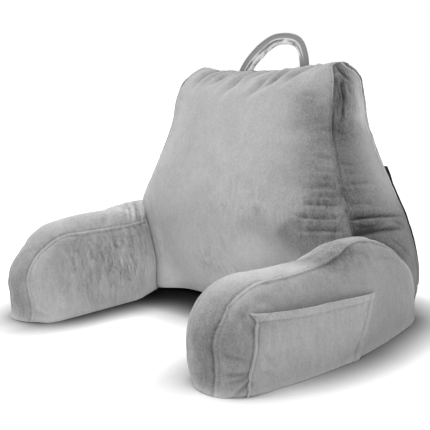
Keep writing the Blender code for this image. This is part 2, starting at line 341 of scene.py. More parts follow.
# Across the top band of an arm: a is y, b runs from 0 at the inner seam to 0.1 at the outer one.
LEFT_BAND_FOLDS = folds("""
-2 60 -34 4 3 4.2 5
15 50 -8 -4 3 4.2 5.5
-22 40 -48 8 2 4.5 1.8
4 30 -14 2 -2 3.6 2.6
-80 30 -110 6 3 7 1.4
""")
RIGHT_BAND_FOLDS = folds("""
-90 50 0 66 4 5 2.2
-52 34 18 46 3 5 2.4
-72 82 -16 90 2 4.5 1.8
-14 20 30 30 2 4.5 2.2
""")

STITCH = 0.0036  # length of a stitch with its gap
STITCH_SHARE = 0.62  # how much of that is thread
THREAD_RADIUS = 0.00045
STITCH_ROW = 0.0038  # from a topstitched seam to each row of stitches

# Colours, linear
VELOUR_DARK = (0.070, 0.070, 0.071)
VELOUR_PALE = (0.850, 0.850, 0.852)
# STRAP_DARK is for painted shade in the strap's creases and groove, STRAP_PALE for its paler inner half and
# painted highlights
STRAP_DARK = (0.120, 0.120, 0.122)
STRAP = (0.320, 0.320, 0.325)
STRAP_PALE = (0.930, 0.930, 0.935)
BLACK_CLOTH = (0.012, 0.012, 0.014)
BLACK_CLOTH_PALE = (0.035, 0.035, 0.038)
THREAD = (0.46, 0.46, 0.465)
FLOOR_DARK = (0.01, 0.01, 0.01)
FLOOR_WHITE = (0.94, 0.94, 0.94)

# The photograph's camera
CAMERA_AZIMUTH = 48.7
CAMERA_ELEVATION = 11.0
CAMERA_ROLL = 3.3
CAMERA_DISTANCE = 1.5782
CAMERA_AIM = (-0.0038, 0.1848)  # along the picture's horizontal, and up
CAMERA_FOCAL_SHARE = 854.3 / 430  # focal length over the picture's width
SENSOR = 36.0
SUN = 2.2
SUN_FROM = (-0.42, -0.16, 1.0)
SKY = 0.50  # the white surroundings' light; the camera sees them pure white


def smooth(columns, key, at):
    """Every column of a table, read at any place along the key column on a smooth cubic curve."""
    knots = columns[key]
    at = np.clip(at, knots[0], knots[-1])
    left = np.clip(np.searchsorted(knots, at, side="right") - 1, 0, len(knots) - 2)
    step = knots[left + 1] - knots[left]
    u = (at - knots[left]) / step
    found = {}
    for name, values in columns.items():
        slope = np.gradient(values, knots)
        found[name] = (
            values[left] * (1 + 2 * u) * (1 - u) ** 2
            + slope[left] * step * u * (1 - u) ** 2
            + values[left + 1] * u**2 * (3 - 2 * u)
            - slope[left + 1] * step * u**2 * (1 - u)
        )
    return found


def mix(a, b, share):
    return a + (b - a) * share


def soft_step(low, high, value):
    t = np.clip((value - low) / (high - low), 0, 1)
    return t * t * (3 - 2 * t)


def bell(distance, width):
    return np.exp(-((distance / width) ** 2))


def lumps(points, size, seed=0):
    """Smooth noise from -1 to 1 whose bumps are about size metres across, or three sizes for x, y and z."""
    p = np.asarray(points) / np.array(size) + 17.31 * (seed + 1)
    cell = np.floor(p).astype(np.int64)
    part = p - cell
    ease = part * part * (3 - 2 * part)
    total = np.zeros(len(p))
    for corner in product((0, 1), repeat=3):
        c = cell + corner
        code = (c[:, 0] * 73856093) ^ (c[:, 1] * 19349663) ^ (c[:, 2] * 83492791)
        code = (code ^ (code >> 13)) * 1274126177 & 0xFFFFFFFF
        value = ((code ^ (code >> 16)) & 0xFFFF) / 32767.5 - 1
        total += value * np.prod(np.where(corner, ease, 1 - ease), axis=1)
    return total


# Lattices and meshes


def graded(length, step):
    """Shares 0..1 along a panel of that length, close together beside the seams at its ends."""
    near = np.array([0, *SEAM_ROWS])
    middle = length - 2 * near[-1]
    count = max(int(round(middle / step)), 2)
    inside = near[-1] + middle * np.arange(1, count) / count
    return np.concatenate([near, inside, length - near[::-1]]) / length


def box_lattice(cuts):
    """The outer points of a box lattice with the given shares along its three ways, and its outward quads."""
    index = {}

    def corner(point):
        return index.setdefault(tuple(point), len(index))

    cells = [len(c) - 1 for c in cuts]
    quads = []
    for axis in range(3):
        first, second = (axis + 1) % 3, (axis + 2) % 3
        for end in (0, cells[axis]):
            for i in range(cells[first]):
                for j in range(cells[second]):
                    ring = []
                    for di, dj in ((0, 0), (1, 0), (1, 1), (0, 1)):
                        point = [0, 0, 0]
                        point[axis], point[first], point[second] = end, i + di, j + dj
                        ring.append(corner(point))
                    quads.append(ring if end else ring[::-1])
    steps = np.array(list(index))
    shares = np.stack([cuts[axis][steps[:, axis]] for axis in range(3)], axis=1)
    return shares, quads


def settle(points, on_floor):
    """Keeps what stands on the floor there, and the rest above it."""
    points[:, 2] = np.where(on_floor, 0, np.maximum(points[:, 2], 0))
    return points


def soften(obj, share, times):
    """Rounds edges off: moves each point along its normal towards its neighbours' middle, by share 0..1."""
    a, b = read_layer(obj.data.edges, "vertices", 2).astype(int).T
    points = read_points(obj)
    on_floor = points[:, 2] < 1e-6
    count = np.bincount(a, minlength=len(points)) + np.bincount(b, minlength=len(points))
    for _ in range(times):
        normals = read_normals(obj)
        total = np.zeros_like(points)
        np.add.at(total, a, points[b])
        np.add.at(total, b, points[a])
        towards = np.sum((total / count[:, None] - points) * normals, axis=1)
        points += (share * 0.6 * towards)[:, None] * normals
        write_points(obj, settle(points, on_floor))


def puff(obj, pinned, cap):
    """Fills the cloth: its seams are held, pressure swells it between them, no point moves past cap."""
    rest = read_points(obj)
    group = obj.vertex_groups.new(name="held")
    group.add(np.flatnonzero(pinned).tolist(), 1.0, "REPLACE")
    cloth = obj.modifiers.new("filling", "CLOTH")
    settings = cloth.settings
    settings.quality = 6
    settings.mass = 0.25
    settings.tension_stiffness = settings.compression_stiffness = 12
    settings.shear_stiffness = 4
    settings.bending_stiffness = 0.15
    settings.effector_weights.gravity = 0
    settings.use_pressure = True
    settings.uniform_pressure_force = PRESSURE
    settings.vertex_group_mass = "held"
    settings.shrink_min = -GROWTH
    cloth.point_cache.frame_start, cloth.point_cache.frame_end = 1, PUFF_FRAMES
    for number in range(1, PUFF_FRAMES + 1):
        bpy.context.scene.frame_set(number)
    bake_modifiers(obj)
    bpy.context.scene.frame_set(1)
    obj.vertex_groups.clear()
    moved = read_points(obj) - rest
    length = np.maximum(np.linalg.norm(moved, axis=1, keepdims=True), 1e-9)
    write_points(obj, settle(rest + moved * (cap * np.tanh(length / cap) / length), False))


def on_edges(shares):
    """Which lattice points lie where two panels meet."""
    return ((shares < 1e-6) | (shares > 1 - 1e-6)).sum(axis=1) >= 2


def add_object(name, data):
    obj = bpy.data.objects.new(name, data)
    bpy.context.collection.objects.link(obj)
    return obj


def add_mesh(name, points, faces):
    mesh = bpy.data.meshes.new(name)
    mesh.from_pydata(np.asarray(points).tolist(), [], faces)
    mesh.shade_smooth()
    return add_object(name, mesh)


def read_layer(items, name, width):
    found = np.empty(len(items) * width, np.int32 if name == "vertices" else np.float32)
    items.foreach_get(name, found)
    return found.reshape(-1, width).astype(float)


def read_points(obj):
    return read_layer(obj.data.vertices, "co", 3)


def write_points(obj, points):
    obj.data.vertices.foreach_set("co", np.asarray(points, np.float32).ravel())
    obj.data.update()


def read_normals(obj):
    return read_layer(obj.data.vertex_normals, "vector", 3)


def set_values(obj, **named):
    """Keeps a number for each point, under each of the names."""
    for name, values in named.items():
        layer = obj.data.attributes.get(name) or obj.data.attributes.new(name, "FLOAT", "POINT")
        layer.data.foreach_set("value", np.asarray(values, np.float32))


def get_value(obj, name, missing=0.0):
    layer = obj.data.attributes.get(name)
    if layer is None:
        return np.full(len(obj.data.vertices), missing)
    return read_layer(layer.data, "value", 1)[:, 0]


def bake_modifiers(obj):
    """Replaces the object's mesh by what its modifiers make of it."""
    graph = bpy.context.evaluated_depsgraph_get()
    graph.update()
    made = bpy.data.meshes.new_from_object(obj.evaluated_get(graph))
    obj.modifiers.clear()
    obj.data = made


def subdivide(obj):
    step = obj.modifiers.new("finer", "SUBSURF")
    step.levels = step.render_levels = 1
    bake_modifiers(obj)


def push(obj, distances):
    """Moves each point along its own normal."""
    points = read_points(obj)
    on_floor = points[:, 2] < 1e-6
    write_points(obj, settle(points + read_normals(obj) * np.asarray(distances)[:, None], on_floor))


# Folds and seams

NO_POINTS = np.zeros((0, 3))


def troughs(a, b, folds):
    """How deep a table of folds draws the cloth in at (a, b), and how much painted shade darkens the folds'
    bottoms.

    The depth goes below 0 where a fold's lips stand up.
    """
    drawn, line = np.zeros_like(a), np.zeros_like(a)
    for n in range(len(folds["a0"])):
        f = {name: values[n] for name, values in folds.items()}
        along = np.array([f["a1"] - f["a0"], f["b1"] - f["b0"]])
        length = np.hypot(*along)
        along /= length
        run = ((a - f["a0"]) * along[0] + (b - f["b0"]) * along[1]) / length
        off = (b - f["b0"]) * along[0] - (a - f["a0"]) * along[1]
        inside = np.clip(run, 0, 1)
        off = off - 4 * f["bow"] * inside * (1 - inside)
        fade = soft_step(-0.12, 0.22, run) * soft_step(1.15, 0.60, run)
        groove = np.exp(-np.abs(off / f["width"]) ** 1.5)
        lips = bell(np.abs(off) - 1.9 * f["width"], f["width"])
        drawn += f["depth"] * fade * (groove - 0.38 * lips)
        line += np.minimum(f["depth"] / 0.006, 1.3) * fade * bell(off, 0.0016 + 0.25 * f["width"])
    return drawn, line


def both(*parts):
    """Adds up masked (drawn, line) pairs."""
    return [sum(mask * pair[i] for mask, pair in parts) for i in range(2)]


def point_tree(points):
    tree = KDTree(len(points))
    for n, point in enumerate(points):
        tree.insert(point, n)
    tree.balance()
    return tree


def fill(obj, held, swell):
    """Fills the sewn cloth, on a mesh that is made finer afterwards."""
    puff(obj, held, swell)
    subdivide(obj)
    stuffing(obj)


def seam_distances(obj, ridge):
    """For each point: how far the nearest seam is, its nearest point and its kind.

    ridge = points of the back's rear seams, which follow no mesh line.
    """
    kinds = get_value(obj, "seam")
    on_seam = np.isin(kinds, (PLAIN_SEAM, TOPSTITCHED_SEAM))
    points = read_points(obj)
    tree = point_tree(np.concatenate([points[on_seam], ridge]))
    kinds = np.concatenate([kinds[on_seam], np.full(len(ridge), RIDGE_SEAM)])
    distance, nearest, kind = np.full(len(points), SEAM_REACH), np.zeros_like(points), np.zeros(len(points))
    for n, point in enumerate(points):
        found, index, away = tree.find(point)
        if away < SEAM_REACH:
            distance[n], nearest[n], kind[n] = away, found, kinds[index]
    return distance, nearest, kind


def fold(obj, drawn, line, ridge=NO_POINTS):
    """Draws the cloth in by the given depths, less right beside a seam, which holds it."""
    distance, _, _ = seam_distances(obj, ridge)
    push(obj, -drawn * (1 - 0.75 * bell(distance, 0.004)))
    set_values(obj, line=line)


def sew(obj, ridge=NO_POINTS):
    """Draws the cloth in at the seams, shapes the sewn edges and puckers the cloth beside them.

    A plain seam is a narrow V between two soft lips. A topstitched one is a flat ridge with a stitched groove
    along each side. The rear panel's is a thin cord of cloth.
    """
    distance, nearest, kind = seam_distances(obj, ridge)
    faded = get_value(obj, "faded")
    plain, ridge = kind == PLAIN_SEAM, kind == RIDGE_SEAM
    stitched = (kind == TOPSTITCHED_SEAM) * (1 - faded)
    profile = plain * (0.0007 * bell(distance, 0.0014) - 0.0008 * bell(distance - 0.0030, 0.0018))
    profile += stitched * (0.0008 * bell(distance, 0.0024) - 0.0006 * bell(distance - 0.0040, 0.0012))
    profile += ridge * (0.0022 * bell(distance, 0.0013) - 0.0008 * bell(distance - 0.0036, 0.0016))
    profile -= 0.0016 * np.exp(-((distance / 0.011) ** 1.5)) * (1 - 0.5 * faded)
    at_foot = (nearest[:, 2] < 0.002) & (distance < SEAM_REACH)
    profile = np.where(at_foot, 0.0006 * bell(distance, 0.004), profile)
    wrinkles = lumps(nearest, 0.012, 3) + 0.7 * lumps(nearest, 0.0065, 4) + 0.8 * lumps(nearest, 0.03, 5)
    beside = np.exp(-((distance / 0.017) ** 1.3)) * (1 - bell(distance, 0.004))
    uneven = np.clip(0.55 + 0.75 * lumps(nearest, 0.055, 6), 0, 1.4)
    push(obj, profile + 0.0015 * wrinkles * beside * uneven * np.where(at_foot, 0.5, 1))
    set_values(obj, seam_distance=distance, stitched=stitched, ridge=ridge)


def stuffing(obj):
    """The uneven firmness of the filling."""
    points = read_points(obj)
    push(obj, FIRMNESS * (0.6 * lumps(points, 0.055, 1) + 0.4 * lumps(points, 0.028, 2)))


def rumple(obj):
    """Small wrinkles where the pile is crushed."""
    points = read_points(obj)
    wrinkles = lumps(points, (0.009, 0.009, 0.022), 51) + 0.6 * lumps(points, (0.006, 0.006, 0.011), 52)
    push(obj, 0.0013 * patches(points, CRUSHED) * wrinkles)


# The back


def back_points(across, depth, rise):
    """Points of the back: across 0..1 along X, depth 0 on the front panel and 1 on the rear, rise 0..1."""
    level = smooth(BACK, "rise", rise)
    side = 2 * across - 1
    crown = 1 - np.abs(side) ** FRONT_CROWN
    front_y = mix(level["edge_y"], level["mid_y"], crown)
    front_z = mix(level["edge_z"], level["mid_z"], crown)
    rear_y = mix(level["rear_y"], level["rear_mid_y"], crown)
    rear_z = mix(level["rear_z"], level["rear_mid_z"], crown)
    arch = 4 * depth * (1 - depth)
    x = side * mix(level["front_half"], level["rear_half"], depth)
    x += np.sign(side) * side**6 * level["bulge"] * arch
    z = mix(front_z, rear_z, depth) + TOP_ROLL * rise**40 * arch * (1 - 0.6 * side**2)
    return np.stack([x + level["drift"], mix(front_y, rear_y, depth), z], axis=1)


def gusset_ridges(back):
    """Points along both gussets' rear seams, found between the mesh points around them."""
    across, depth, rise = (get_value(back, name) for name in ("across", "depth", "rise"))
    points = read_points(back)
    flat = np.stack([GUSSET_DEPTH * depth, BACK_HEIGHT * rise, 0 * rise], axis=1)
    rises = np.linspace(GUSSET_REAR_SEAM["rise"][0], 1, 260)
    depths = smooth(GUSSET_REAR_SEAM, "rise", rises)["depth"]
    found = []
    for on_side in (across < 0.0001, across > 0.9999):
        own, tree = points[on_side], point_tree(flat[on_side])
        for d, r in zip(depths, rises):
            near = tree.find_n((GUSSET_DEPTH * d, BACK_HEIGHT * r, 0), 5)
            weights = np.array([1 / (away**2 + 1e-9) for _, _, away in near])
            found.append(weights @ own[[n for _, n, _ in near]] / weights.sum())
    return np.array(found)


def back_tones(depth, rise):
    """How dark a gusset is: its panel tone with painted shade, darkest beside the front panel and in the
    shadow behind the rear seam, and painted light towards its upper rear.
    """
    seam_depth = smooth(GUSSET_REAR_SEAM, "rise", rise)["depth"]
    behind = soft_step(-0.02, 0.06, depth - seam_depth) * soft_step(0.76, 0.92, rise)
    tone = 0.28 * soft_step(0.30, 0.80, depth) * soft_step(0.38, 0.60, rise)
    tone -= 0.12 * soft_step(0.45, 0.0, depth) + 0.05 * soft_step(0.60, 0.45, rise)
    return GUSSET_TONE + tone * (1 - behind) - 0.14 * behind


def shape_back(back, depth, rise):
    """The foot lifts between the arms, the front swells beside them and the top is plump at its right."""
    points = read_points(back)
    x = points[:, 0].copy()
    low = soft_step(0.45, 0.0, depth)
    lifted = soft_step(0.24, 0.19, np.abs(x)) * soft_step(0.10, 0.0, rise) * low
    plump = soft_step(0.04, 0.09, x) * soft_step(0.195, 0.165, x) * soft_step(0.93, 1.0, rise)
    points[:, 2] += mix(0.004, 0.008, soft_step(-0.11, -0.05, x)) * lifted + 0.0048 * plump
    points[:, 1] -= 0.030 * bell(np.abs(x) - 0.213, 0.034) * soft_step(0.17, 0.0, rise) * low
    write_points(back, points)


def make_back():
    """Front and rear panels meet on the crest, so the two long edges of the lattice's top are rounded off."""
    half_depth = 0.5 * graded(BACK_DEPTH, BACK_STEP)
    depth_cuts = np.concatenate([half_depth, 0.5 + half_depth[1:]])
    cuts = (graded(BACK_WIDTH, BACK_STEP), depth_cuts, graded(BACK_HEIGHT, BACK_STEP))
    shares, quads = box_lattice(cuts)
    back = add_mesh("back_velour", back_points(*shares.T), quads)
    across, depth, rise = shares.T
    on_side = np.abs(2 * across - 1) > 0.999
    on_top, on_base = rise > 0.999, rise < 0.001
    on_edge = on_edges(shares)
    crest = on_top & (np.abs(depth - CREST) < 1e-6)
    rear_seam = np.abs(depth - depth_cuts[-4]) < 1e-6  # the rear panel wraps a little round the corner
    held = (on_side & (on_edge | rear_seam)) | crest | on_base
    rear_seam &= rise < 0.5
    seam = (on_side & ((depth < 0.001) | rear_seam | on_top | on_base)) | crest | (on_base & on_edge)
    run = rise * BACK_HEIGHT + depth * 0.15 + across * BACK_WIDTH * (on_top | on_base)
    set_values(back, seam=np.where(seam, PLAIN_SEAM, 0), run=run, tone=on_side * back_tones(depth, rise))
    set_values(back, across=across, depth=depth, rise=rise)
    shape_back(back, depth, rise)
    soften(back, soft_step(0.90, 0.985, rise) * (1 - on_side), 12)
    soften(back, soft_step(0.02, 0.0, rise), 6)
    rear_corner = (np.abs(2 * across - 1) > 0.93) & (rise < 0.97)
    soften(back, np.clip(1.2 * bell(1 - depth, 0.06), 0, 1) * rear_corner, 6)
    fill(back, held, BACK_SWELL)
    fold_back(back)
    rumple(back)
    sew(back, gusset_ridges(back))
    return back


def fold_back(back):
    """The front panel's folds run on over the top, and mirrored a little way down the rear."""
    side = np.abs(2 * get_value(back, "across") - 1) > 0.9999
    top = get_value(back, "rise") > 0.9999
    deep = get_value(back, "depth")
    x, y, z = read_points(back).T
    front = np.where(top, deep < CREST + 1e-4, deep < 0.0001) & ~side
    rear = np.where(top, deep > CREST, deep > 0.9999) & ~side
    on_front = troughs(x, z + top * OVER_TOP * deep, FRONT_FOLDS)
    on_rear = troughs(-x, z + top * OVER_TOP * (1 - deep), FRONT_FOLDS)
    folded = both((front, on_front), (side, troughs(y, z, GUSSET_FOLDS)), (0.8 * rear * (z > 0.40), on_rear))
    fold(back, *folded, gusset_ridges(back))
    set_values(back, front=front)


# The arms


def to_quarter_round(p, q):
    """Moves a point of the unit square to the quarter disc, edges to the arc."""
    return p * np.sqrt(1 - q**2 / 2), q * np.sqrt(1 - p**2 / 2)


def arm_side(arm_rows, length, rise):
    """(y, z) on an arm's side panel, and the (y, z) way out of its outline."""
    y = mix(ARM_REAR_Y, ARM_TIP_Y, length)
    top = smooth(arm_rows, "y", y)["seam_z"]
    z = rise * top
    tip_p = np.clip((ARM_TIP_Y + ARM_TIP_RADIUS - y) / ARM_TIP_RADIUS, 0, 1)
    tip_q = np.clip((z - top + ARM_TIP_RADIUS) / ARM_TIP_RADIUS, 0, 1)
    round_p, round_q = to_quarter_round(tip_p, tip_q)
    in_tip = (tip_p > 0) & (tip_q > 0)
    tip_y = ARM_TIP_Y + ARM_TIP_RADIUS * (1 - round_p)
    tip_z = top - ARM_TIP_RADIUS * (1 - round_q)
    rear_reach = ARM_REAR_Y - ARM_REAR_CENTRE_Y
    rear_p = np.clip((y - ARM_REAR_CENTRE_Y) / rear_reach, 0, 1)
    turned_p, turned_q = to_quarter_round(rear_p, rise)
    in_rear = rear_p > 0
    y = np.where(in_tip, tip_y, np.where(in_rear, ARM_REAR_CENTRE_Y + rear_reach * turned_p, y))
    z = np.where(in_tip, tip_z, np.where(in_rear, turned_q * top, z))
    out_y = np.where(tip_p > 0, -round_p, turned_p * in_rear)
    out_z = np.where(tip_p > 0, round_q, np.where(in_rear, turned_q, 1.0))
    size = np.maximum(np.hypot(out_y, out_z), 1e-9)
    return y, z, out_y / size, out_z / size


def arm_points(arm_rows, across, length, rise):
    """Points of an arm as the right one lies: across 0 inner to 1 outer panel, length 0 rear to 1 tip."""
    y, z, out_y, out_z = arm_side(arm_rows, length, rise)
    row = smooth(arm_rows, "y", y)
    roll = SOLE_ROUND * np.clip(1 - z / SOLE_ROUND, 0, 1) ** 2
    tuck = TIP_TUCK * soft_step(-0.250, -0.269, y) * np.clip(1 - z / 0.035, 0, 1) ** 2
    inner = mix(row["inner_foot"], row["inner_seam"], rise**3) + roll + tuck
    outer = mix(row["outer_foot"], row["outer_seam"], rise**3) - roll
    z = z * mix(row["inner_share"], 1, across)
    crown = 1 - np.abs(2 * across - 1) ** 2.4
    on_tip = length > 1 - 1e-6
    rises = crown * (row["crown"] * out_z**2 + BAND_CROWN_TIP * out_y**2)
    lift = np.where(on_tip | (rise > 1 - 1e-6), rises, 0) - np.where(on_tip, roll, 0)
    return np.stack([mix(inner, outer, across), y + lift * out_y, np.maximum(z + lift * out_z, 0)], axis=1)


def arm_tones(tones, across, length):
    """How dark an arm's outer panel, its inner panel, and its band towards the tip are: partly how the pile
    lies, partly painted light and shade.
    """
    outer, inner, band, tip = tones
    band = mix(band, tip, soft_step(0.80, 0.97, length))
    return np.where(across > 0.999, outer, np.where(across < 0.001, inner, band))


# How far the band's seams sit in from the arm's edges, along the way from the tip's foot over the top
SEAM_INSET = table("""
way outer inner
0 22 4
50 18 7
83 18 11
113 10 10
140 6 6
170 3 3
230 2 1
300 1 0
400 0 0
""")


def inset_seams(arm, arm_rows, shares):
    """Slides the mesh over the arm so that the band narrows and the side panels wrap round its edges."""
    across, length, rise = shares.T
    points = read_points(arm)
    surface = surface_tree(arm)
    _, _, out_y, out_z = arm_side(arm_rows, length, rise)
    past_tip = points[:, 1] - ARM_TIP_Y - ARM_TIP_RADIUS
    inset = smooth(SEAM_INSET, "way", np.where(past_tip < 0, points[:, 2], 0.15 + past_tip))
    from_edge = np.minimum((1 - length) * 0.45, (1 - rise) * 0.15)  # metres, roughly
    on_panel = np.clip(1 - from_edge / 0.05, 0, 1) ** 1.5
    band = (rise > 0.999) | (length > 0.999)
    outer = inset["outer"] * np.where(across > 0.999, on_panel, np.where(band, across, 0))
    inner = inset["inner"] * np.where(across < 0.001, on_panel, np.where(band, 1 - across, 0))
    net = np.where(band & (across > 0.001) & (across < 0.999), outer - inner, outer + inner)
    way_x = np.where((outer > inner) & (net >= 0), -1.0, 1.0)
    steps = 8
    moves = np.stack([way_x, out_y, out_z], axis=1) * np.abs(net)[:, None] / steps
    for n in np.flatnonzero(np.abs(net) > 1e-5):
        point, move = Vector(points[n]), Vector(moves[n])
        for _ in range(steps):
            point = surface.find_nearest(point + move)[0]
        points[n] = point
    write_points(arm, settle(points, rise < 0.001))


def make_arm(name, side, arm_rows, extra_reach, tones, band_folds):
    """side is +1 for the right arm and -1 for the left."""
    shares, quads = box_lattice([graded(size, ARM_STEP) for size in (ARM_WIDTH, ARM_LENGTH, ARM_HEIGHT)])
    across, length, rise = shares.T
    # the lattice runs towards -Y, so its quads are turned to face out
    arm = add_mesh(name, arm_points(arm_rows, *shares.T), [ring[::-1] for ring in quads])
    on_edge = on_edges(shares)
    edges = point_tree(read_points(arm)[on_edge & (rise > 0.001)])
    inset_seams(arm, arm_rows, shares)
    from_edge = np.array([edges.find(point)[2] for point in read_points(arm)])
    soften(arm, np.clip(1.3 * bell(from_edge, 0.012), 0, 1) * soft_step(0, 0.06, rise), 8)
    band_seam = ((across < 0.001) | (across > 0.999)) & ((rise > 0.999) | (length > 0.999))
    foot_seam = (rise < 0.001) & on_edge
    points = read_points(arm)
    set_values(
        arm,
        seam=np.where(band_seam, TOPSTITCHED_SEAM, np.where(foot_seam, PLAIN_SEAM, 0)),
        run=length * ARM_LENGTH + (1 - rise) * ARM_HEIGHT + across * 0.1 * (rise < 0.001),
        tone=arm_tones(tones, across, length),
        across=across,
        on_band=rise > 0.999,
        faded=0.85 * soft_step(0.135, 0.095, rise * 0.15) * soft_step(0.75, 0.85, length),
        own_y=points[:, 1],
    )
    points[:, 1] -= extra_reach * np.clip(points[:, 1] / ARM_TIP_Y, 0, 1)
    points[:, 0] *= side
    write_points(arm, points)
    if side < 0:
        arm.data.flip_normals()
    fill(arm, band_seam | (rise < 0.001), ARM_SWELL)
    fold_arm(arm, side, band_folds)
    rumple(arm)
    sew(arm)
    return arm


def fold_arm(arm, side, band_folds):
    """Both arms share their side panels' folds; the right one's tip and each band have their own."""
    across = get_value(arm, "across")
    y, z = get_value(arm, "own_y"), read_points(arm)[:, 2]
    outer, inner = across > 0.9999, across < 0.0001
    band = (get_value(arm, "on_band") > 0.9999) & ~outer & ~inner
    folded = both(
        (outer, troughs(y, z, OUTER_PANEL_FOLDS)),
        (outer & (side > 0), troughs(y, z, RIGHT_TIP_FOLDS)),
        (inner, troughs(y, z, INNER_PANEL_FOLDS)),
        (band, troughs(y, 0.1 * across, band_folds)),
    )
    fold(arm, *folded)


def cut_by_back(arm, back):
    """Takes the back out of the arm, a little smaller so that the join stays shut."""
    cutter = add_object("back_cutter", back.data.copy())
    push(cutter, np.full(len(cutter.data.vertices), -SINK))
    points = read_points(cutter)
    points[points[:, 2] < 1e-6, 2] = -0.01
    write_points(cutter, points)
    boolean = arm.modifiers.new("clear of the back", "BOOLEAN")
    boolean.operation = "DIFFERENCE"
    boolean.solver = "MANIFOLD"
    boolean.object = cutter
    bake_modifiers(arm)
    bpy.data.objects.remove(cutter)
    arm.data.shade_smooth()


def sharpen_foot(obj):
    """Keeps the edge between a stuffed piece's base and its sides crisp in the shading."""
    mesh = obj.data
    base = np.array([face.normal.z < -0.9 and face.center.z < 0.001 for face in mesh.polygons])
    edge_of_corner = np.empty(len(mesh.loops), np.int32)
    mesh.loops.foreach_get("edge_index", edge_of_corner)
    corners = np.empty(len(mesh.polygons), np.int32)
    mesh.polygons.foreach_get("loop_total", corners)
    on_base = np.bincount(edge_of_corner[np.repeat(base, corners)], minlength=len(mesh.edges))
    on_any = np.bincount(edge_of_corner, minlength=len(mesh.edges))
    layer = mesh.attributes.get("sharp_edge") or mesh.attributes.new("sharp_edge", "BOOLEAN", "EDGE")
    layer.data.foreach_set("value", (on_base == 1) & (on_any == 2))


def ridge_at_join(arm, back):
    """The arm's cut end is sewn to the back: its cloth stands up in a soft ridge beside that seam, marked
    here for a painted highlight.
    """
    tree = surface_tree(back)
    found = [tree.find_nearest(point, 0.02)[3] for point in read_points(arm)]
    distance = np.array([0.02 if away is None else away for away in found])
    push(arm, 0.0014 * bell(distance - 0.0045, 0.0022))
    set_values(arm, join=bell(distance - 0.0045, 0.0026))


# The pockets


def surface_tree(obj):
    return BVHTree.FromPolygons(read_points(obj).tolist(), [p.vertices[:] for p in obj.data.polygons])


def cast(tree, starts, way, hits):
    """Where rays from a grid of points meet a surface, else hits as given, and the normals there."""
    normals = np.zeros_like(starts)
    for n in np.ndindex(starts.shape[:-1]):
        hit, normal, _, _ = tree.ray_cast(Vector(starts[n]), Vector(way))
        if hit is not None:
            hits[n], normals[n] = hit, normal
    return hits, normals


def sheet_mesh(name, inner, outer):
    """A closed cloth between two grids of points."""
    steps, quads = box_lattice([np.arange(size) for size in (*inner.shape[:2], 2)])
    column, row, face = steps.T
    points = np.where(face[:, None] < 0.5, inner[column, row], outer[column, row])
    return add_mesh(name, points, quads), (column, row)


def blurred(grid):
    """A grid of values smoothed along both ways."""
    for _ in range(60):
        for axis in (0, 1):
            padding = [(1, 1) if axis == n else (0, 0) for n in range(3)]
            padded = np.pad(grid, padding, "reflect", reflect_type="odd")
            size = grid.shape[axis]
            low, high = (np.take(padded, range(first, first + size), axis) for first in (0, 2))
            grid = (low + high + 2 * grid) / 4
    return grid


def gape(along, up):
    """How far a sewn-down pocket stands off, 0 at its sides and foot to 1 at the middle of its mouth."""
    return (1 - np.abs(2 * along - 1) ** 2.5) * up**1.5


def pocket_ground(arm, along, up):
    """Where the arm pocket lies on the arm, and the ways in which it stands off there."""
    mouth = smooth(POCKET_MOUTH, "y", mix(POCKET_MOUTH["y"][0], POCKET_MOUTH["y"][-1], along))
    front_y = smooth(POCKET_FRONT_EDGE, "rise", up)["y"]
    rear_y = POCKET_MOUTH["y"][-1] + POCKET_REAR_SHIFT * (1 - up)
    y = mix(front_y, rear_y, along)
    z = mix(POCKET_FOOT_Z, mouth["z"], up)
    starts = np.stack([np.full(y.shape, OUTSIDE), y, z], axis=-1)
    foot, out = cast(surface_tree(arm), starts, (-1, 0, 0), starts.copy())
    # the cloth spans the arm's creases
    foot[..., 0] = np.maximum(foot[..., 0], blurred(foot[..., :1])[..., 0])
    out = blurred(np.where(np.abs(out[..., :1]) > 0.2, out, np.array([1.0, 0.0, 0.0])))
    out[..., 2] = np.where(up > 0.04, 0.5 * out[..., 2], 0)
    out /= np.linalg.norm(out, axis=-1, keepdims=True)
    return foot, out, y, z


def pocket_tack(from_front, from_mouth):
    """The stitched triangle: 1 inside it, 1 along its edge, and its zigzag of thread."""
    low = np.clip(from_mouth / TACK_HEIGHT, 0, 1)
    inside = np.minimum(from_front - TACK_POINT * low, mix(TACK_WIDTH, TACK_POINT, low) - from_front)
    tack = soft_step(-0.0006, 0.0008, np.minimum(inside, TACK_HEIGHT - from_mouth))
    edge = bell(np.abs(inside) + 9 * np.maximum(from_mouth - TACK_HEIGHT, 0), 0.0010)
    crossed = [from_mouth / 0.0021 + way * from_front / 0.0034 for way in (1, -1)]
    return tack, edge, sum(np.abs(lines % 1 - 0.5) for lines in crossed)


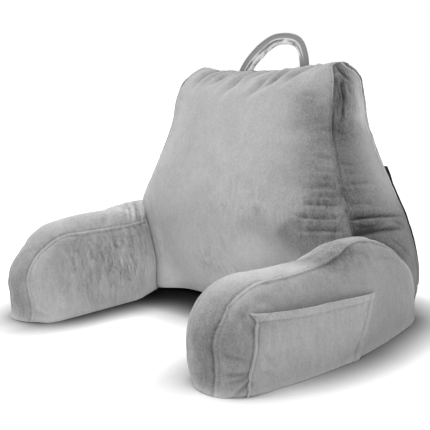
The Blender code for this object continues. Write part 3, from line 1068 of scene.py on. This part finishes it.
def make_arm_pocket(arm):
    along, up = np.meshgrid(*(np.linspace(0, 1, cells + 1) for cells in POCKET_CELLS), indexing="ij")
    foot, out, y, z = pocket_ground(arm, along, up)
    from_front, from_rear = along * POCKET_LENGTH, (1 - along) * POCKET_LENGTH
    from_mouth = (1 - up) * POCKET_HEIGHT
    hem = 0.0013 * soft_step(0.0118, 0.0100, from_mouth) + 0.0011 * soft_step(0.0150, 0.0130, from_rear)
    tack, tack_edge, zigzag = pocket_tack(from_front, from_mouth)
    # seams along the edges, and slack in the cloth
    stitched = bell(from_mouth - 0.0112, 0.0012) + bell(from_rear - 0.0145, 0.0012)
    stitched = (1 - tack) * (stitched + 1.3 * bell(from_front - 0.0056, 0.0011))
    ridge = 0.0026 * bell(from_front - 0.0022, 0.0015) * (1 - tack) + tack * (0.0010 + 0.0010 * zigzag)
    spots = np.stack([y.ravel(), z.ravel(), np.zeros(y.size)], axis=1)
    slack = (lumps(spots, 0.034, 21) * 0.0019 + lumps(spots, 0.015, 22) * 0.0010).reshape(y.shape)
    slack *= soft_step(0, 0.03, np.minimum(from_front, from_rear)) * soft_step(0, 0.02, up * POCKET_HEIGHT)
    pulls, folded = (part.reshape(y.shape) for part in troughs(y.ravel(), z.ravel(), POCKET_FOLDS))
    droop = 0.003 * bell(from_rear, 0.03) * bell(up, 0.25)
    stand_off = np.maximum(0.0008 + POCKET_GAPE * gape(along, up) + slack - pulls + droop, 0.0005)
    thick = CLOTH + hem + ridge - 0.0010 * np.clip(stitched, 0, 1)
    inner, outer = (foot + out * away[..., None] for away in (stand_off, stand_off + thick))
    pocket, grid = sheet_mesh("arm_pocket_velour", inner, outer)
    # the lines hold the stitching with painted shade in the folds' bottoms and along the front edge beside
    # its ridge; the pale values hold a painted highlight on that ridge, the paler hem and the tack's thread
    dark = 0.7 * stitched + 0.8 * bell(from_front, 0.0012) * (1 - tack) + 1.2 * tack_edge + folded
    pale = 0.035 + 0.16 * bell(from_front - 0.0026, 0.0018) * (1 - tack)
    pale += 0.05 * soft_step(0.012, 0.008, from_mouth)
    pale += tack * (0.10 * (zigzag - 0.5) + 0.12 * soft_step(0.003, 0.001, from_mouth))
    set_values(pocket, line=dark[grid], tone=pale[grid])
    return pocket


def make_rear_pocket(back):
    shares = graded(REAR_POCKET_WIDTH, POCKET_STEP), graded(REAR_POCKET_HEIGHT, POCKET_STEP)
    along, up = np.meshgrid(*shares, indexing="ij")
    across = 0.5 + 0.5 * REAR_POCKET_ACROSS * (2 * along - 1)
    rise = mix(*REAR_POCKET_RISE, up)
    rear = back_points(across.ravel(), np.ones(along.size), rise.ravel()).reshape(*along.shape, 3)
    starts = np.stack([rear[..., 0], np.full(along.shape, OUTSIDE), rear[..., 2]], axis=-1)
    rear, _ = cast(surface_tree(back), starts, (0, -1, 0), rear)
    from_mouth = (1 - up) * REAR_POCKET_HEIGHT
    hem = 0.0008 * soft_step(0.021, 0.018, from_mouth) - 0.0006 * bell(from_mouth - 0.0205, 0.0014)
    at_side = soft_step(0.90, 1.0, np.abs(2 * along - 1)) * soft_step(0.18, 0.55, up)
    at_side *= 0.0030 + 0.0025 * soft_step(0.8, 1.0, up)
    stand_off = 0.0006 + REAR_POCKET_GAPE * gape(along, up) + at_side
    inner, outer = rear.copy(), rear.copy()
    inner[..., 1] += stand_off
    outer[..., 1] += stand_off + CLOTH + hem
    return sheet_mesh("rear_pocket_cloth", inner, outer)[0]


# The handle


def tube(name, rings):
    """A closed mesh through rings of points."""
    index = np.arange(rings[..., 0].size).reshape(rings.shape[:2])
    turned = np.roll(index, -1, axis=1)
    sides = np.stack([index[:-1], index[1:], turned[1:], turned[:-1]], axis=-1).reshape(-1, 4)
    faces = [*sides.tolist(), index[0].tolist(), index[-1][::-1].tolist()]
    return add_mesh(name, rings.reshape(-1, 3), faces)


def make_handle():
    """A velour strap on edge: smooth along its outer half, crumpled and paler along the inner one, with
    painted highlights on its crinkles and ridge and painted shade in its creases and groove.
    """
    steps = np.linspace(0, 1, HANDLE_CELLS + 1)
    line = smooth({"at": np.linspace(0, 1, len(HANDLE["x"])), **HANDLE}, "at", steps)
    centre = np.stack([line["x"], line["z"]], axis=1)
    run = np.gradient(centre, axis=0)
    lengths = np.linalg.norm(run, axis=1, keepdims=True)
    run /= lengths
    out_x, out_z = -run[:, 1], run[:, 0]
    travelled = np.concatenate([[0], np.cumsum(lengths[1:, 0])])
    turn = 2 * math.pi * np.arange(HANDLE_SIDES) / HANDLE_SIDES
    wide = np.sign(np.cos(turn)) * np.abs(np.cos(turn)) ** 0.7
    thick = np.sign(np.sin(turn)) * np.abs(np.sin(turn)) ** 0.6
    fades = 1 - soft_step(0.72, 0.86, steps)  # the crumpled half tucks under on the right
    points = np.zeros((len(steps), HANDLE_SIDES, 3))
    pale = np.zeros((len(steps), HANDLE_SIDES))
    for k in range(HANDLE_SIDES):
        w = np.full(len(steps), wide[k])
        face = np.full(len(steps), 0.01 * np.sign(thick[k]))
        spot = np.stack([travelled, HANDLE_HALF_WIDTH * w, face], axis=1)
        inner_side = soft_step(0.02, -0.20, w) * fades
        slant = spot + np.stack([-0.9 * spot[:, 1], 0 * steps, 0 * steps], axis=1)
        creases = lumps(slant, (0.014, 0.0042, 0.01), 31) + 0.5 * lumps(slant, (0.006, 0.0026, 0.01), 32)
        edge = 1 + inner_side * 0.08 * lumps(spot * (1, 0, 0), 0.014, 33)
        half = HANDLE_HALF_WIDTH * w * edge * np.interp(steps, *HANDLE_SWELL)
        from_ridge = w + 0.04 - 0.05 * lumps(spot * (1, 0, 0), 0.02, 34)
        ridge = bell(from_ridge, 0.065) * fades
        groove = bell(from_ridge + 0.21, 0.10) * fades * soft_step(0.62, 0.42, steps)
        body = 0.0021 + 0.0009 * bell(w - 0.92, 0.16) + 0.0012 * (ridge - groove)
        across = thick[k] * (body + inner_side * 0.0010 * np.abs(creases)) + inner_side * 0.0010 * creases
        x, z = centre[:, 0] + out_x * half, centre[:, 1] + out_z * half
        points[:, k] = np.stack([x, HANDLE_Y + across, z], axis=1)
        streaks = 0.14 * lumps(spot, (0.03, 0.0016, 0.01), 35) - 0.05
        # the inner half's paler pile, with painted highlights on the crinkles' crests and the ridge, painted
        # shade in the creases and the groove, and darker along the inner edge
        pale[:, k] = inner_side * (0.75 + 0.85 * creases) + 1.5 * ridge - 1.1 * groove + streaks
        pale[:, k] -= inner_side * 0.5 * bell(w + 1, 0.10)
    handle = tube("handle_strap", points)
    set_values(handle, pale=np.clip(pale, -0.6, 1).ravel())
    return handle


# Materials


class Nodes:
    """Short names for building the nodes of a new material, or of the world."""

    def __init__(self, owner):
        owner.use_nodes = True
        self.owner, self.tree = owner, owner.node_tree

    def put(self, socket, value):
        if isinstance(value, bpy.types.NodeSocket):
            self.tree.links.new(value, socket)
        else:
            socket.default_value = value

    def fill(self, node, **inputs):
        for name, value in inputs.items():
            self.put(node.inputs[name.replace("_", " ")], value)
        return node

    def add(self, kind, **inputs):
        return self.fill(self.tree.nodes.new(kind), **inputs)

    def finish(self, **inputs):
        self.fill(self.tree.nodes["Principled BSDF"], **inputs)
        return self.owner

    def place(self):
        return self.add("ShaderNodeTexCoord").outputs["Object"]

    def attribute(self, name):
        node = self.add("ShaderNodeAttribute")
        node.attribute_name = name
        return node.outputs["Fac"]

    def stitches(self):
        """1 on the threads: dashes along both sides of a topstitched seam."""
        run = self.math("FRACT", self.times(self.attribute("run"), 1 / STITCH))
        off = self.math("ABSOLUTE", self.minus(self.attribute("seam_distance"), STITCH_ROW))
        dash, row = self.math("LESS_THAN", run, STITCH_SHARE), self.math("LESS_THAN", off, THREAD_RADIUS)
        return self.times(dash, row, self.attribute("stitched"))

    def noise(self, at, scale, detail=2.0, roughness=0.5, distortion=0.0):
        inputs = {"Scale": scale, "Detail": detail, "Roughness": roughness, "Distortion": distortion}
        return self.add("ShaderNodeTexNoise", Vector=at, **inputs).outputs["Fac"]

    def stretched(self, at, scale, turn=(0, 0, 0)):
        return self.add("ShaderNodeMapping", Vector=at, Scale=scale, Rotation=turn).outputs["Vector"]

    def ramp(self, value, low, high, to_low=0.0, to_high=1.0, soft=False):
        node = self.add("ShaderNodeMapRange")
        node.interpolation_type = "SMOOTHSTEP" if soft else "LINEAR"
        for socket, v in zip(node.inputs, (value, low, high, to_low, to_high)):
            self.put(socket, v)
        return node.outputs["Result"]

    def math(self, how, *values):
        node = self.add("ShaderNodeMath")
        node.operation = how
        for socket, v in zip(node.inputs, values):
            self.put(socket, v)
        return node.outputs[0]

    def times(self, *values):
        return reduce(lambda a, b: self.math("MULTIPLY", a, b), values)

    def plus(self, *values):
        return reduce(lambda a, b: self.math("ADD", a, b), values)

    def minus(self, a, b):
        return self.math("SUBTRACT", a, b)

    def about(self, noise, amount):
        """A noise of 0 to 1 as a swing around 0."""
        return self.times(self.minus(noise, 0.5), amount)

    def blend(self, share, a, b):
        node = self.add("ShaderNodeMix")
        node.data_type = "RGBA"
        inputs = {socket.identifier: socket for socket in node.inputs}
        self.put(inputs["Factor_Float"], share)
        for name, colour in (("A_Color", a), ("B_Color", b)):
            self.put(inputs[name], (*colour, 1) if isinstance(colour, tuple) else colour)
        return next(socket for socket in node.outputs if socket.identifier == "Result_Color")

    def bump(self, height, distance, strength, **normal):
        inputs = {"Height": height, "Distance": distance, "Strength": strength, **normal}
        return self.add("ShaderNodeBump", **inputs).outputs["Normal"]


def velour_material():
    """Short pile: pale where it is brushed up, darker where it lies down, and lighter or darker where light
    and shade are painted into its values, with flecks and a soft sheen.
    """
    n = Nodes(bpy.data.materials.new("velour"))
    at = n.place()
    clouds = n.noise(at, 13.0, 3.0, 0.55, 0.5)
    streaks = n.noise(n.stretched(at, (120.0, 120.0, 34.0), (0.25, 0, 0)), 1.0, 4.0, 0.62, 0.9)
    flecks = n.noise(at, 330.0, 2.0, 0.6)
    fibres = n.noise(n.stretched(at, (1100.0, 1100.0, 500.0)), 1.0, 2.0, 0.6)
    mottle = n.times(n.about(streaks, n.attribute("crush")), 1.5)
    shade = n.plus(n.about(clouds, 0.20), mottle, n.about(flecks, 0.30), n.attribute("nap"))
    stitches = n.stitches()
    coarse = n.bump(streaks, 0.0022, 0.4)
    pile = n.bump(n.plus(n.times(flecks, 0.6), n.times(fibres, 0.4)), 0.0006, 0.6, Normal=coarse)
    cloth = n.blend(n.ramp(shade, -0.5, 0.5), VELOUR_DARK, VELOUR_PALE)
    return n.finish(
        Base_Color=n.blend(n.times(stitches, 0.7), cloth, THREAD),
        Roughness=0.92,
        Specular_IOR_Level=0.15,
        Sheen_Weight=0.22,
        Sheen_Roughness=0.4,
        Sheen_Tint=(1.0, 1.0, 1.0, 1),
        Normal=n.bump(stitches, 0.0005, 0.6, Normal=pile),
    )


def strap_material():
    n = Nodes(bpy.data.materials.new("strap"))
    rib = n.noise(n.stretched(n.place(), (500.0, 500.0, 500.0)), 1.0, 2.0, 0.6)
    # the pale values carry the inner half's paler pile with painted highlights and shade on its crinkles
    shade = n.plus(n.attribute("pale"), n.about(rib, 0.25))
    grey = n.blend(n.ramp(shade, -0.6, 0.0), STRAP_DARK, STRAP)
    colour = n.blend(n.ramp(shade, 0.0, 1.0), grey, STRAP_PALE)
    return n.finish(Base_Color=colour, Roughness=0.8, Sheen_Weight=0.25, Normal=n.bump(rib, 0.0005, 0.5))


def black_material():
    n = Nodes(bpy.data.materials.new("black_cloth"))
    warp, weft = (n.add("ShaderNodeTexWave", Vector=n.place(), Scale=260.0, Distortion=0.4) for _ in range(2))
    weft.bands_direction = "Z"
    weave = n.times(warp.outputs["Fac"], weft.outputs["Fac"])
    colour = n.blend(weave, BLACK_CLOTH, BLACK_CLOTH_PALE)
    return n.finish(Base_Color=colour, Roughness=0.75, Sheen_Weight=0.2, Normal=n.bump(weave, 0.0004, 0.6))


def dress(obj, material):
    obj.data.materials.clear()
    obj.data.materials.append(material)


# Patches where the pile is brushed another way, and painted light and shade where faces turn towards or away
# from the light and in corners: middle, radii along x, y and z, and how much paler (+) or darker (-)
BRUSHED_AND_PAINTED_LIGHT = table("""
x y z rx ry rz shade
226 45 232 40 50 22 -50
150 86 390 30 40 12 -60
114 5 205 10 30 12 -100
81 16 254 14 30 8 -50
22 -4 131 12 30 20 -50
-31 3 90 30 30 14 -80
-120 10 80 120 50 60 80
60 0 120 100 50 50 70
192 150 420 18 12 24 -120
200 118 385 18 13 40 -140
205 110 330 18 14 24 -60
100 0 128 50 30 22 120
290 -277 83 32 30 34 -160
285 -58 155 40 34 30 -120
-197 -220 22 30 60 30 100
-193 -70 85 30 40 40 60
-190 20 30 45 45 60 340
232 131 300 30 30 30 50
209 170 370 25 18 70 180
284 70 180 25 30 12 -100
262 -155 150 50 100 35 140
0 10 260 160 60 90 30
-60 10 110 120 50 50 30
285 -15 160 40 60 25 -200
318 -30 158 20 60 15 -140
276 -284 30 30 20 30 -100
318 -258 70 30 28 80 -120
248 -200 165 30 70 20 80
-269 -110 180 30 100 20 60
-235 -60 168 25 22 15 -50
-230 -28 163 24 24 22 170
-205 -10 70 30 50 80 140
-200 -100 100 20 50 40 -30
-195 -60 40 20 50 20 -40
-195 -120 15 30 120 20 100
-215 -250 60 30 40 60 50
-268 -285 70 40 34 65 -150
""")
# Where the pile is crushed into streaks: middle, radii, how much
CRUSHED = table("""
x y z rx ry rz shade
-200 -95 88 30 110 68 850
-245 -30 168 50 50 20 450
290 -10 165 50 70 20 180
205 130 380 20 40 70 400
215 50 200 50 60 50 300
60 0 200 80 40 70 150
-30 3 90 50 30 30 300
""")


def patches(points, spots):
    total = np.zeros(len(points))
    for x, y, z, rx, ry, rz, shade in zip(*spots.values()):
        away = np.sum(((points - (x, y, z)) / (rx, ry, rz)) ** 2, axis=1)
        total += shade * np.exp(-(away**1.3))
    return total


def brush_and_paint_light(obj, crush):
    """Sets the nap values that the velour reads, which hold how the pile lies together with painted light and
    shade, and its crush values. The brushed and painted patches have ragged, streaky edges.
    """
    points = read_points(obj)
    ragged = [0.012 * lumps(points, 0.035, 41 + i) + 0.005 * lumps(points, 0.012, 45 + i) for i in range(3)]
    wander = np.stack(ragged, axis=1)
    near = get_value(obj, "seam_distance", SEAM_REACH)
    # the panels' tones and the patches: how the pile lies, together with painted light and shade
    nap = get_value(obj, "tone") + patches(points + wander, BRUSHED_AND_PAINTED_LIGHT)
    # painted highlight on a seam's lip and painted shade in the groove beside it, and a painted highlight
    # along the gussets' rear seam cord
    nap += 0.03 * bell(near, 0.0016) - 0.07 * bell(near - 0.0036, 0.0016)
    nap += 0.50 * get_value(obj, "ridge") * bell(near, 0.0012)
    nap += 0.30 * np.exp(-((points[:, 2] / 0.009) ** 1.5))  # light from the floor
    # the front panel's dark field: brushed pile and painted shade where the panel turns away from the light
    x, _, z = (points + 0.5 * wander).T
    field = smooth(FRONT_DARK, "z", z)
    inside = (x - field["x"]) / (field["seam_x"] - field["x"])
    share = 0.65 * soft_step(-0.5 * field["blur"], field["blur"], inside)
    share += 0.35 * soft_step(-1.1, 0.5, inside)
    nap += get_value(obj, "front") * field["tone"] * share
    # painted highlight on the ridge where an arm joins the back, which also lightens the shade in that
    # corner, and painted shade in the folds' bottoms
    nap += 0.16 * get_value(obj, "join") - 0.16 * np.clip(get_value(obj, "line"), -1, 1.5)
    set_values(obj, nap=nap, crush=crush + patches(points + wander, CRUSHED))


# The scene


def to_frame(obj):
    write_points(obj, read_points(obj) + CENTRED)


def add_camera():
    azimuth, elevation, roll = (math.radians(a) for a in (CAMERA_AZIMUTH, CAMERA_ELEVATION, CAMERA_ROLL))
    back = Vector((math.sin(azimuth), -math.cos(azimuth), 0)) * math.cos(elevation)
    back.z = math.sin(elevation)
    right = Vector((math.cos(azimuth), math.sin(azimuth), 0))
    up = back.cross(right)
    place = right * CAMERA_AIM[0] + Vector((0, 0, CAMERA_AIM[1])) + back * CAMERA_DISTANCE + Vector(CENTRED)
    turned_right = right * math.cos(roll) - up * math.sin(roll)
    turned_up = right * math.sin(roll) + up * math.cos(roll)
    camera = add_object("camera", bpy.data.cameras.new("camera"))
    turned = Matrix((turned_right, turned_up, back)).transposed()
    camera.matrix_world = Matrix.Translation(place) @ turned.to_4x4()
    camera.data.sensor_width = SENSOR
    camera.data.lens = CAMERA_FOCAL_SHARE * SENSOR
    bpy.context.scene.camera = camera


def floor_material():
    """White, and darkened with painted shade where the pillow keeps the light out; only the camera sees the
    shade.
    """
    n = Nodes(bpy.data.materials.new("floor_white"))
    near = n.add("ShaderNodeAmbientOcclusion", Distance=0.11)
    near.samples = 12
    x, y, _ = n.add("ShaderNodeSeparateXYZ", Vector=n.place()).outputs
    inside = n.ramp(n.math("ABSOLUTE", x), 0.21, 0.26, 1.0, 0.0, soft=True)
    between_arms = n.times(inside, n.ramp(y, 0.14, 0.10))
    seat_shade = n.times(n.ramp(y, -0.150, 0.040, 0.0, 0.93, soft=True), between_arms)
    left_shade = n.ramp(x, -0.215, -0.10, 0.72, 0.0, soft=True)
    left_shade = n.times(left_shade, between_arms, n.ramp(y, -0.37, -0.12, soft=True))
    # towards the right arm's tip the contact shadow is lighter and shorter
    by_tip = n.times(n.ramp(x, 0.18, 0.27), n.ramp(y, 0.03, -0.17))
    contact = n.math("POWER", near.outputs["AO"], n.minus(2.3, n.times(by_tip, 1.6)))
    open_share = n.times(contact, n.minus(1.0, seat_shade), n.minus(1.0, left_shade))
    unseen = n.minus(1.0, n.add("ShaderNodeLightPath").outputs["Is Camera Ray"])
    white_share = n.math("MAXIMUM", open_share, unseen)
    return n.finish(
        Base_Color=n.blend(white_share, FLOOR_DARK, FLOOR_WHITE),
        Emission_Color=(1, 1, 1, 1),
        Emission_Strength=n.times(n.minus(white_share, unseen), 0.30),
        Roughness=0.9,
        Specular_IOR_Level=0.0,
    )


def add_studio():
    floor = add_mesh("floor", [(-12, -12, 0), (12, -12, 0), (12, 12, 0), (-12, 12, 0)], [(0, 1, 2, 3)])
    dress(floor, floor_material())
    world = bpy.data.worlds.new("studio")
    n = Nodes(world)
    seen = n.add("ShaderNodeLightPath").outputs["Is Camera Ray"]
    n.fill(n.tree.nodes["Background"], Color=(1, 1, 1, 1), Strength=n.ramp(seen, 0.0, 1.0, SKY, 1.0))
    bpy.context.scene.world = world
    light = bpy.data.lights.new("key", "SUN")
    light.energy = SUN
    light.angle = math.radians(38)
    key = add_object("key", light)
    key.rotation_euler = (-Vector(SUN_FROM)).to_track_quat("-Z", "Y").to_euler()
    view = bpy.context.scene.view_settings
    view.view_transform = "Standard"
    view.look = "None"


def main():
    add_camera()
    add_studio()
    velour = velour_material()
    back = make_back()
    arms = []
    for name, side, arm_rows, reach, tones, band_folds in (
        ("arm_right_velour", 1, RIGHT_ARM, 0.0, RIGHT_TONES, RIGHT_BAND_FOLDS),
        ("arm_left_velour", -1, LEFT_ARM, LEFT_EXTRA_REACH, LEFT_TONES, LEFT_BAND_FOLDS),
    ):
        arm = make_arm(name, side, arm_rows, reach, tones, band_folds)
        cut_by_back(arm, back)
        ridge_at_join(arm, back)
        sharpen_foot(arm)
        arms.append(arm)
    sharpen_foot(back)
    arm_right, arm_left = arms
    arm_pocket = make_arm_pocket(arm_right)
    rear_pocket = make_rear_pocket(back)
    for obj, node, material, slot, crush in (
        (back, "back_cushion", velour, "velour", 0.10),
        (arm_right, "arm_right", velour, "velour", 0.14),
        (arm_left, "arm_left", velour, "velour", 0.18),
        (arm_pocket, "arm_pocket", velour, "velour", 0.16),
        (rear_pocket, "rear_pocket", black_material(), "black_cloth", None),
        (make_handle(), "carry_handle", strap_material(), "strap", None),
    ):
        if crush is not None:
            brush_and_paint_light(obj, crush)
        to_frame(obj)
        dress(obj, material)
        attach(obj, "root")
        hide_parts(node)


main()
